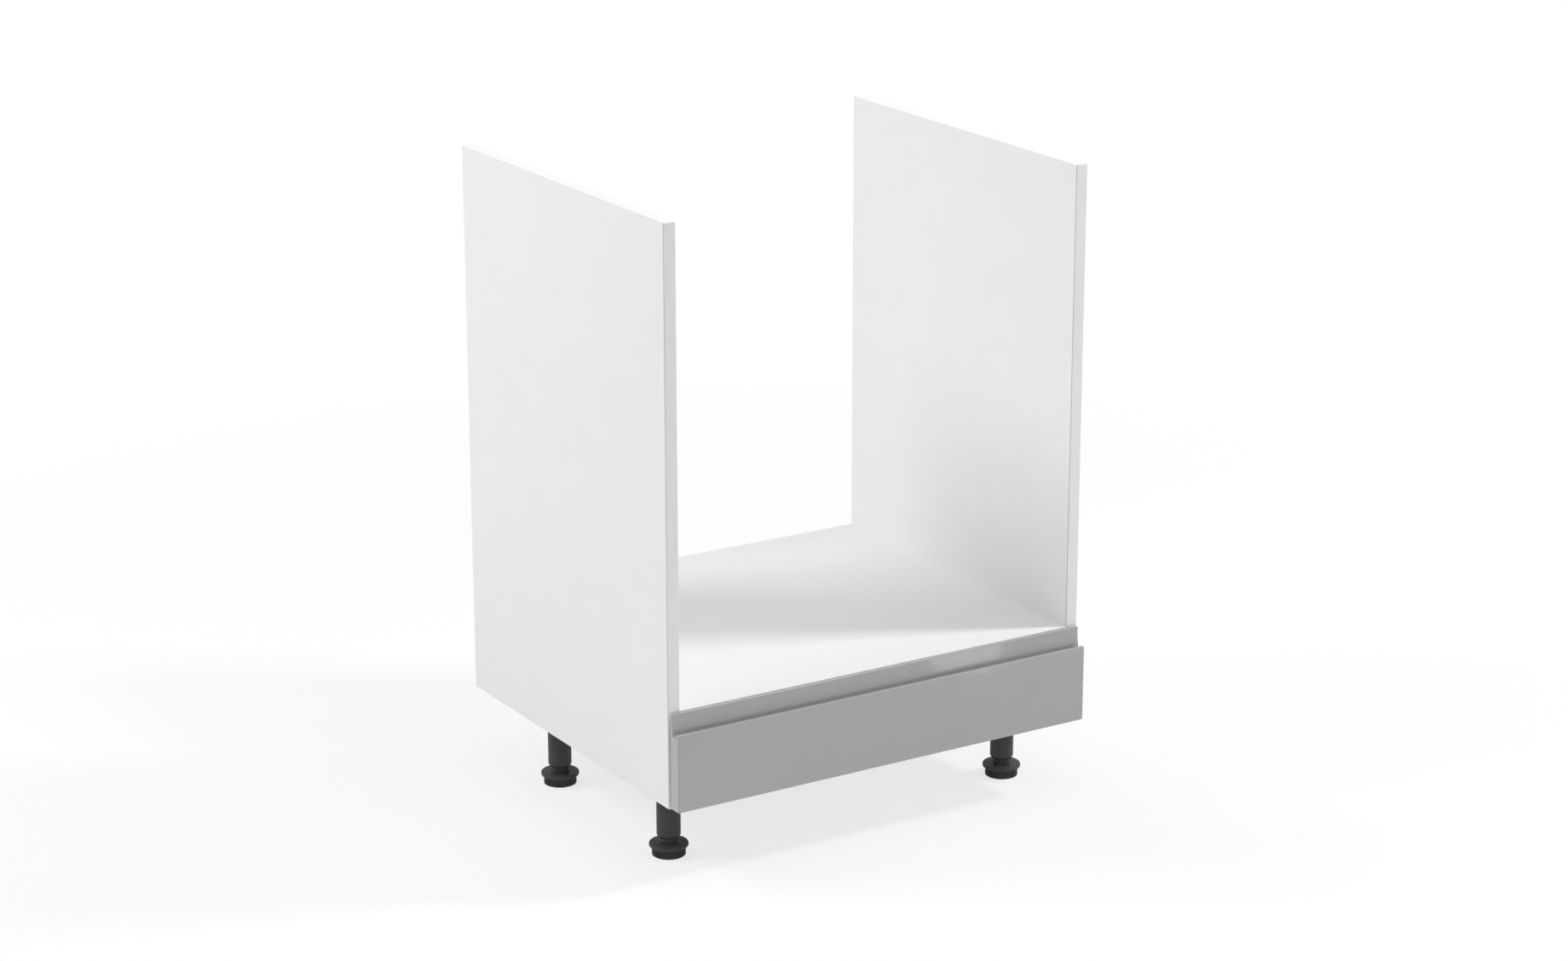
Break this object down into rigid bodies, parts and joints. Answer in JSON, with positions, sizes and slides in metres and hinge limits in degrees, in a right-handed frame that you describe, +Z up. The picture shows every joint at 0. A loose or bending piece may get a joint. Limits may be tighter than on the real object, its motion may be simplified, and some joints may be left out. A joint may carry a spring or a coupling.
{
  "type": "oven base cabinet",
  "caption": "White oven base cabinet, open above a low drawer with a gloss grey finger-groove front, on black screw legs.",
  "frame": {"origin": "on the floor under the middle of the cabinet's box", "axes": "+Z up, the drawer front faces -Y, +X to the right seen from the front"},
  "size_m": [0.6, 0.52, 0.82],
  "materials": {
    "white_board": "white melamine laminate on chipboard, fine satin texture",
    "white_edge_band": "white plastic edge band, satin",
    "white_hardboard": "white lacquered hardboard, brown below",
    "grey_gloss_front": "mid grey high gloss lacquer on fibreboard",
    "black_leg_plastic": "moulded black plastic, slight sheen",
    "black_foot_plastic": "moulded black plastic, ribbed",
    "white_coated_steel": "white epoxy coated steel strip",
    "nylon_roller": "natural nylon",
    "steel_axle": "turned steel",
    "steel_bolt": "zinc plated steel",
    "zinc_cam": "die cast zinc",
    "zinc_screw": "zinc plated steel",
    "beech_dowel": "fluted beech",
    "clear_bumper": "soft clear silicone"
  },
  "bodies": {
    "carcass": {"bottom_edge_band": "white_edge_band", "bottom_panel": "white_board", "cam_bolts": "steel_bolt", "cam_locks": "zinc_cam", "front_edge_band_left": "white_edge_band", "front_edge_band_right": "white_edge_band", "leg_plate_front_left": "black_leg_plastic", "leg_plate_front_right": "black_leg_plastic", "leg_plate_rear_left": "black_leg_plastic", "leg_plate_rear_right": "black_leg_plastic", "leg_screws": "zinc_screw", "leg_tube_front_left": "black_leg_plastic", "leg_tube_front_right": "black_leg_plastic", "leg_tube_rear_left": "black_leg_plastic", "leg_tube_rear_right": "black_leg_plastic", "oven_shelf": "white_board", "rear_rail": "white_board", "rear_rail_screws": "zinc_screw", "runner_axles": "steel_axle", "runner_left": "white_coated_steel", "runner_right": "white_coated_steel", "runner_screws": "zinc_screw", "shelf_edge_band": "white_edge_band", "side_panel_left": "white_board", "side_panel_right": "white_board", "top_edge_band_left": "white_edge_band", "top_edge_band_right": "white_edge_band", "wood_dowels": "beech_dowel"},
    "drawer": {"drawer_axles": "steel_axle", "drawer_back": "white_board", "drawer_back_screws": "zinc_screw", "drawer_bottom": "white_hardboard", "drawer_bottom_screws": "zinc_screw", "drawer_cam_bolts": "steel_bolt", "drawer_cam_locks": "zinc_cam", "drawer_dowels": "beech_dowel", "drawer_front": "grey_gloss_front", "drawer_rail_left": "white_coated_steel", "drawer_rail_right": "white_coated_steel", "drawer_rail_screws": "zinc_screw", "drawer_side_left": "white_board", "drawer_side_right": "white_board", "front_bumpers": "clear_bumper"},
    "runner_roller_left": {"runner_roller_left": "nylon_roller"},
    "drawer_roller_left": {"drawer_roller_left": "nylon_roller"},
    "runner_roller_right": {"runner_roller_right": "nylon_roller"},
    "drawer_roller_right": {"drawer_roller_right": "nylon_roller"},
    "foot_base_front_left": {"foot_base_front_left": "black_foot_plastic"},
    "foot_spindle_front_left": {"foot_spindle_front_left": "black_foot_plastic"},
    "foot_base_front_right": {"foot_base_front_right": "black_foot_plastic"},
    "foot_spindle_front_right": {"foot_spindle_front_right": "black_foot_plastic"},
    "foot_base_rear_left": {"foot_base_rear_left": "black_foot_plastic"},
    "foot_spindle_rear_left": {"foot_spindle_rear_left": "black_foot_plastic"},
    "foot_base_rear_right": {"foot_base_rear_right": "black_foot_plastic"},
    "foot_spindle_rear_right": {"foot_spindle_rear_right": "black_foot_plastic"}
  },
  "joints": [
    {"name": "drawer_slide", "type": "slide", "parent": "carcass", "child": "drawer", "axis": [0, -1, 0], "range_m": [0, 0.33]},
    {"name": "runner_roller_left_spin", "type": "hinge", "parent": "carcass", "child": "runner_roller_left", "pos_m": [-0.2784, -0.222, 0.1327], "axis": [1, 0, 0], "range_deg": [-5, 2229.4]},
    {"name": "drawer_roller_left_spin", "type": "hinge", "parent": "drawer", "child": "drawer_roller_left", "pos_m": [-0.2784, 0.195, 0.13175], "axis": [1, 0, 0], "range_deg": [-5, 2229.4]},
    {"name": "runner_roller_right_spin", "type": "hinge", "parent": "carcass", "child": "runner_roller_right", "pos_m": [0.2784, -0.222, 0.1327], "axis": [1, 0, 0], "range_deg": [-5, 2229.4]},
    {"name": "drawer_roller_right_spin", "type": "hinge", "parent": "drawer", "child": "drawer_roller_right", "pos_m": [0.2784, 0.195, 0.13175], "axis": [1, 0, 0], "range_deg": [-5, 2229.4]},
    {"name": "foot_front_left_lift", "type": "slide", "parent": "carcass", "child": "foot_base_front_left", "axis": [0, 0, 1], "range_m": [-0.02, 0.007]},
    {"name": "foot_front_left_screw", "type": "hinge", "parent": "foot_base_front_left", "child": "foot_spindle_front_left", "pos_m": [-0.25, -0.152, 0.014], "axis": [0, 0, 1], "range_deg": [-1805, 635]},
    {"name": "foot_front_right_lift", "type": "slide", "parent": "carcass", "child": "foot_base_front_right", "axis": [0, 0, 1], "range_m": [-0.02, 0.007]},
    {"name": "foot_front_right_screw", "type": "hinge", "parent": "foot_base_front_right", "child": "foot_spindle_front_right", "pos_m": [0.25, -0.152, 0.014], "axis": [0, 0, 1], "range_deg": [-1805, 635]},
    {"name": "foot_rear_left_lift", "type": "slide", "parent": "carcass", "child": "foot_base_rear_left", "axis": [0, 0, 1], "range_m": [-0.02, 0.007]},
    {"name": "foot_rear_left_screw", "type": "hinge", "parent": "foot_base_rear_left", "child": "foot_spindle_rear_left", "pos_m": [-0.25, 0.126, 0.014], "axis": [0, 0, 1], "range_deg": [-1805, 635]},
    {"name": "foot_rear_right_lift", "type": "slide", "parent": "carcass", "child": "foot_base_rear_right", "axis": [0, 0, 1], "range_m": [-0.02, 0.007]},
    {"name": "foot_rear_right_screw", "type": "hinge", "parent": "foot_base_rear_right", "child": "foot_spindle_rear_right", "pos_m": [0.25, 0.126, 0.014], "axis": [0, 0, 1], "range_deg": [-1805, 635]}
  ],
  "couplings": [
    {"joint": "runner_roller_left_spin", "follows": "drawer_slide", "rad_per_m": 117.65},
    {"joint": "drawer_roller_left_spin", "follows": "drawer_slide", "rad_per_m": 117.65},
    {"joint": "runner_roller_right_spin", "follows": "drawer_slide", "rad_per_m": 117.65},
    {"joint": "drawer_roller_right_spin", "follows": "drawer_slide", "rad_per_m": 117.65},
    {"joint": "foot_front_left_screw", "follows": "foot_front_left_lift", "rad_per_m": 1570.8},
    {"joint": "foot_front_right_screw", "follows": "foot_front_right_lift", "rad_per_m": 1570.8},
    {"joint": "foot_rear_left_screw", "follows": "foot_rear_left_lift", "rad_per_m": 1570.8},
    {"joint": "foot_rear_right_screw", "follows": "foot_rear_right_lift", "rad_per_m": 1570.8}
  ]
}
